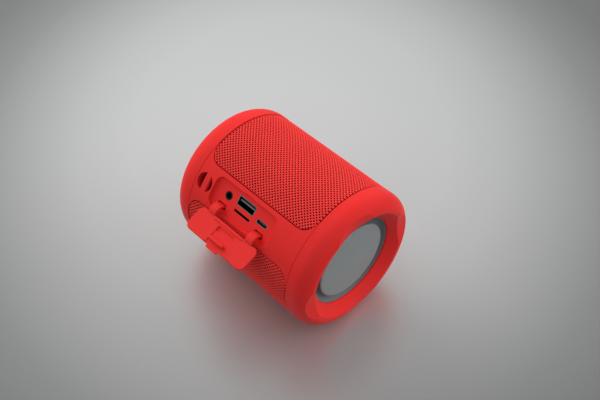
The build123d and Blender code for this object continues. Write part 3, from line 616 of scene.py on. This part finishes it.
# ---- Controls ----
# A round plate of textured red plastic with five rubber keys, a small lamp and a microphone hole.
plate_red = moulded("textured_plate_red", (0.50, 0.014, 0.014), (0.55, 0.018, 0.017), 0.6, 1500, 0.00003)
paint(plate_red, "key_plate")
key_names = ["button_play", "button_volume_up", "button_volume_down", "button_power", "button_pairing"]
key_red = moulded("key_rubber_red", (0.60, 0.020, 0.019), (0.66, 0.026, 0.024), 0.55, 2400, 0.000012)
paint(key_red, *key_names)
lens = Finish("lamp_lens", Transmission_Weight=0.85, IOR=1.49)
lens.set("Base Color", lens.mix(lens.noise(400), (0.86, 0.90, 0.92), (0.92, 0.95, 0.96)))
lens.set("Roughness", 0.08 + 0.1 * lens.noise(900))
paint(lens, "status_lens")

# ---- Key marks ----
# Raised beads moulded on the key tops: a triangle for play, a plus and a minus for the volume,
# a broken ring for power and two waves for pairing.
MARK_RADIUS = 0.17 * MM
MARK_SPREAD = 1.4
MARK_AROUND = 10
key_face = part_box("button_play")[0][0]
mark_grey = moulded("mark_pale", (0.75, 0.72, 0.71), (0.80, 0.77, 0.76), 0.5)


def mark(name, key, path, closed):
    """A bead of elliptical section carried along a path on the key's face, given across and up. At a
    corner it heads along the mean of the two sides."""
    low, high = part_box(key)
    centre = (low + high) / 2
    path = np.array(path) * MM
    ahead = np.roll(path, -1, 0) - path if closed else np.gradient(path, axis=0)
    before = path - np.roll(path, 1, 0)
    heading = ahead / np.linalg.norm(ahead, axis=1)[:, None]
    if closed:
        heading = heading + before / np.linalg.norm(before, axis=1)[:, None]
        heading /= np.linalg.norm(heading, axis=1)[:, None]
    around = np.linspace(0, 2 * np.pi, MARK_AROUND, endpoint=False)
    flank = np.stack([-heading[:, 1], heading[:, 0]], -1)
    place = path[:, None, :] + flank[:, None, :] * np.cos(around)[None, :, None] * MARK_RADIUS * MARK_SPREAD
    c, s = np.cos(SPINE_TURN), np.sin(SPINE_TURN)
    across, up = place[..., 0], place[..., 1]
    points = np.stack([
        np.broadcast_to(key_face - np.sin(around) * MARK_RADIUS, across.shape),
        centre[1] + across * c - up * s,
        centre[2] + across * s + up * c,
    ], -1)
    stations = len(path)
    if closed:
        points = np.concatenate([points, points[:1]])
        faces = [tube_faces(stations + 1, MARK_AROUND) % (stations * MARK_AROUND)]
        points = points[:-1]
    else:
        ends = np.arange(MARK_AROUND)
        caps = np.vstack([ends[::-1], (stations - 1) * MARK_AROUND + ends])
        faces = [tube_faces(stations, MARK_AROUND), caps]
    body = "key_" + key.removeprefix("button_")
    return put_mesh(name, points, faces, mark_grey, body, "grey_rubber")


def arc_path(radius, start, end, count=20, rise=0.0):
    """Points on an arc about the key's centre, raised by rise: the angles are degrees from across."""
    angles = np.radians(np.linspace(start, end, count))
    return np.stack([radius * np.cos(angles), rise + radius * np.sin(angles)], -1)


triangle = np.array([(-1.5, -2.2), (-1.5, 2.2), (2.3, 0.0)])
shares = np.linspace(0, 1, 8, endpoint=False)[:, None]
triangle = np.concatenate([a + shares * (b - a) for a, b in zip(triangle, np.roll(triangle, -1, 0))])
mark("play_mark", "button_play", triangle, True)
line = np.linspace(-1.6, 1.6, 9)
mark("plus_mark_across", "button_volume_up", np.stack([line, 0 * line], -1), False)
mark("plus_mark_up", "button_volume_up", np.stack([0 * line, line], -1), False)
mark("minus_mark", "button_volume_down", np.stack([line, 0 * line], -1), False)
mark("power_mark_ring", "button_power", arc_path(1.7, 125, 415, 30), False)
mark("power_mark_line", "button_power", np.stack([0 * line, 1.2 + line * 0.5], -1), False)
mark("pairing_mark_inner", "button_pairing", arc_path(1.3, 45, 135, 12, -1.2), False)
mark("pairing_mark_outer", "button_pairing", arc_path(2.5, 45, 135, 16, -1.2), False)

# ---- Inside the barrel ----
# Black moulded structure, the pressed steel driver with its paper cone, one round cell, and the
# boards. None of it shows until the speaker is taken apart.
black = moulded("black_moulding", (0.012, 0.012, 0.013), (0.018, 0.018, 0.020), 0.6, 1800, 0.00002)
paint(black, "grille_cage", "inner_housing", "radiator_frame", "battery_holders", "board_standoffs")
foam = moulded("black_foam", (0.008, 0.008, 0.008), (0.020, 0.020, 0.020), 0.95, 900, 0.0002)
paint(foam, "housing_seal")


def drawn_metal(name, dark, light, roughness, stretch):
    """A bare or plated metal with fine lines drawn along one way."""
    finish = Finish(name, Metallic=1.0)
    lines = finish.noise(500, 4.0, stretch)
    finish.set("Base Color", finish.mix(lines, dark, light))
    finish.set("Roughness", roughness + 0.15 * lines)
    return finish.bump(lines, 0.000004)


zinc = drawn_metal("zinc_plated_steel", (0.48, 0.48, 0.47), (0.60, 0.60, 0.60), 0.3, (1, 6, 6))
paint(zinc, "radiator_weight", "base_screws", "driver_basket", "driver_screws", "driver_top_plate")
paint(zinc, "driver_yoke", "board_screws")
copper = drawn_metal("enamelled_copper", (0.55, 0.22, 0.09), (0.70, 0.32, 0.14), 0.25, (1, 8, 8))
paint(copper, "driver_voice_coil")
ferrite = moulded("sintered_ferrite", (0.035, 0.035, 0.038), (0.070, 0.070, 0.074), 0.7, 1100, 0.00003)
paint(ferrite, "driver_magnet")
cone_paper = moulded("pressed_paper", (0.020, 0.020, 0.022), (0.040, 0.040, 0.042), 0.9, 1400, 0.00005)
paint(cone_paper, "driver_cone", "driver_dust_cap")
wrap = moulded("cell_wrap_blue", (0.010, 0.045, 0.22), (0.014, 0.060, 0.28), 0.35, 500, 0.00001)
paint(wrap, "battery_cell")
epoxy = moulded("chip_epoxy", (0.012, 0.012, 0.012), (0.020, 0.020, 0.020), 0.55, 5000, 0.000008)
paint(epoxy, "board_chips", "dome_switches", "microphone")

# A resin-dipped cloth spider: a plain weave of pale brown thread, pressed into rings.
spider = Finish("spider_cloth", Roughness=0.85)
warp = spider.node("ShaderNodeTexWave", {"bands_direction": "X"}, {"Vector": spider.place(), "Scale": 500})
weft = spider.node("ShaderNodeTexWave", {"bands_direction": "Y"}, {"Vector": spider.place(), "Scale": 500})
spider.set("Base Color", spider.mix(warp * weft, (0.22, 0.14, 0.05), (0.42, 0.29, 0.12)))
spider.bump(warp * weft, 0.00006)
paint(spider, "driver_spider")
spider_outline = [(8.0, 7.25), (7.6, 9.0), (8.2, 10.5), (7.6, 12.0), (9.5, 13.6), (9.5, 14.1),
                  (9.2, 14.1), (9.1, 13.8), (7.2, 12.1), (7.8, 10.5), (7.2, 9.0), (7.6, 7.25)]
spider_outline = [np.array(spider_outline) + (DRIVER_FACE, 0)]
bending_ring("driver_spider", spider_outline, driver_middle, SPINE_UP, 13.4, 8.0, spider,
             "spider_cloth")

# Fibreglass boards under green solder mask, with copper tracks that show through as paler lines.
board = Finish("solder_mask_green", Roughness=0.35)
cells = board.node("ShaderNodeTexVoronoi", {"feature": "DISTANCE_TO_EDGE"},
                   {"Vector": board.place(), "Scale": 260})
tracks = cells > 0.09
board.set("Base Color", board.mix(tracks, (0.030, 0.20, 0.075), (0.008, 0.085, 0.035)))
board.bump(tracks * -1.0, 0.00003)
paint(board, "main_board", "button_board", "port_board", "battery_board")
